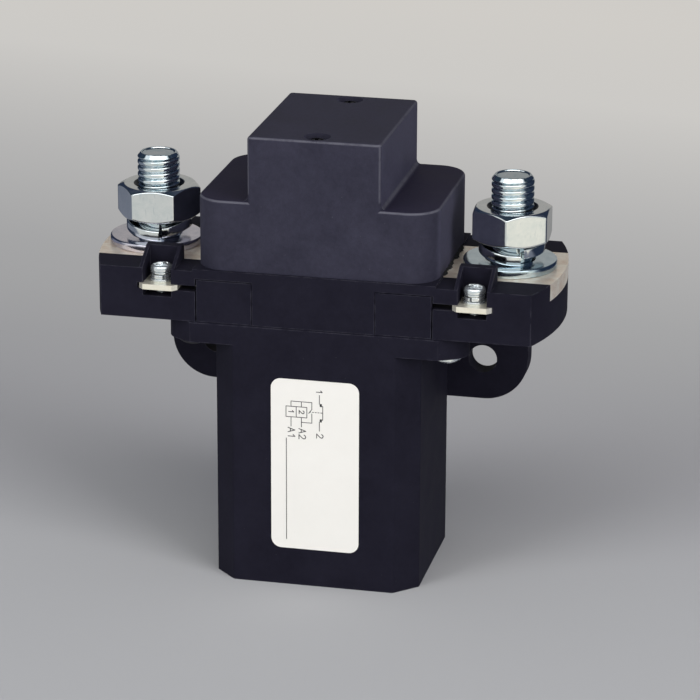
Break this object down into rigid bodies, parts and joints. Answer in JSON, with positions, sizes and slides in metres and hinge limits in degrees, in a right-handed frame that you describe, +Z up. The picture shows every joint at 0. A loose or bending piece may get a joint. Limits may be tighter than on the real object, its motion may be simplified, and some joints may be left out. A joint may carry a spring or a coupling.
{
  "type": "dc contactor",
  "caption": "Single-pole dc contactor with stud terminals, a stepped arc cover over the contacts, and a coil housing with two mounting ears.",
  "frame": {"origin": "centre of the coil housing's flat foot, on the surface it stands on", "axes": "+X along the row of studs, +Y towards the face that bolts to a panel, +Z up from the foot through the plunger's axis to the arc cover"},
  "size_m": [0.1106, 0.044, 0.1092],
  "materials": {
    "black_moulding": "fine grained black moulding",
    "cover_moulding": "satin dark grey moulding",
    "label_film": "smooth off-white film",
    "tinned_copper": "dull tinned copper",
    "silver_alloy": "silver alloy",
    "bright_zinc": "bright zinc",
    "tinned_brass": "tinned brass",
    "wire_insulation": "insulated wire",
    "blackened_steel": "blackened steel",
    "turned_brass": "turned brass",
    "black_rubber": "matte rubber",
    "bare_copper": "bare copper",
    "spring_steel": "spring steel",
    "plated_steel": "zinc plated steel",
    "cream_moulding": "moulded",
    "enamelled_copper": "enamelled copper wire",
    "insulating_tape": "insulating tape"
  },
  "bodies": {
    "housing": {"coil_housing": "black_moulding", "rating_label": "label_film", "terminal_base": "black_moulding", "arc_cover": "cover_moulding", "fixed_contact_left": "tinned_copper", "fixed_contact_right": "tinned_copper", "fixed_tip_left": "silver_alloy", "fixed_tip_right": "silver_alloy", "terminal_stud_left": "bright_zinc", "terminal_stud_right": "bright_zinc", "plain_washer_left": "bright_zinc", "plain_washer_right": "bright_zinc", "spring_washer_left": "bright_zinc", "spring_washer_right": "bright_zinc", "hex_nut_left": "bright_zinc", "hex_nut_right": "bright_zinc", "coil_tab_left": "tinned_brass", "coil_tab_right": "tinned_brass", "coil_screws": "bright_zinc", "coil_screw_washers": "bright_zinc", "lead_cover_left": "black_moulding", "lead_cover_right": "black_moulding", "coil_lead_left": "wire_insulation", "coil_lead_right": "wire_insulation", "flange_screws": "bright_zinc", "cover_screws": "blackened_steel", "rod_bush": "turned_brass", "stop_washer": "black_rubber", "magnet_frame": "plated_steel", "top_plate": "plated_steel", "fixed_core": "plated_steel", "guide_sleeve": "turned_brass", "coil_bobbin": "cream_moulding", "coil_winding": "enamelled_copper", "coil_wrap": "insulating_tape", "return_spring": "spring_steel"},
    "armature": {"armature_plunger": "plated_steel", "armature_rod": "plated_steel", "bridge_insulator": "cream_moulding", "spring_retainer": "plated_steel", "rod_clip": "spring_steel"},
    "bridge": {"moving_bridge": "bare_copper", "moving_tip_left": "silver_alloy", "moving_tip_right": "silver_alloy", "spring_seat": "black_moulding", "contact_spring": "spring_steel"}
  },
  "joints": [
    {"name": "armature_slide", "type": "slide", "parent": "housing", "child": "armature", "axis": [0, 0, -1], "range_m": [0, 0.004], "stiffness_N_per_m": 700, "springref_m": -0.004, "deforming": ["return_spring"]},
    {"name": "bridge_slide", "type": "slide", "parent": "armature", "child": "bridge", "axis": [0, 0, 1], "range_m": [0, 0.0015], "stiffness_N_per_m": 1500, "springref_m": -0.004, "deforming": ["contact_spring"]}
  ],
  "couplings": [
    {"joint": "bridge_slide", "follows": "armature_slide", "ratio": 0.375}
  ]
}
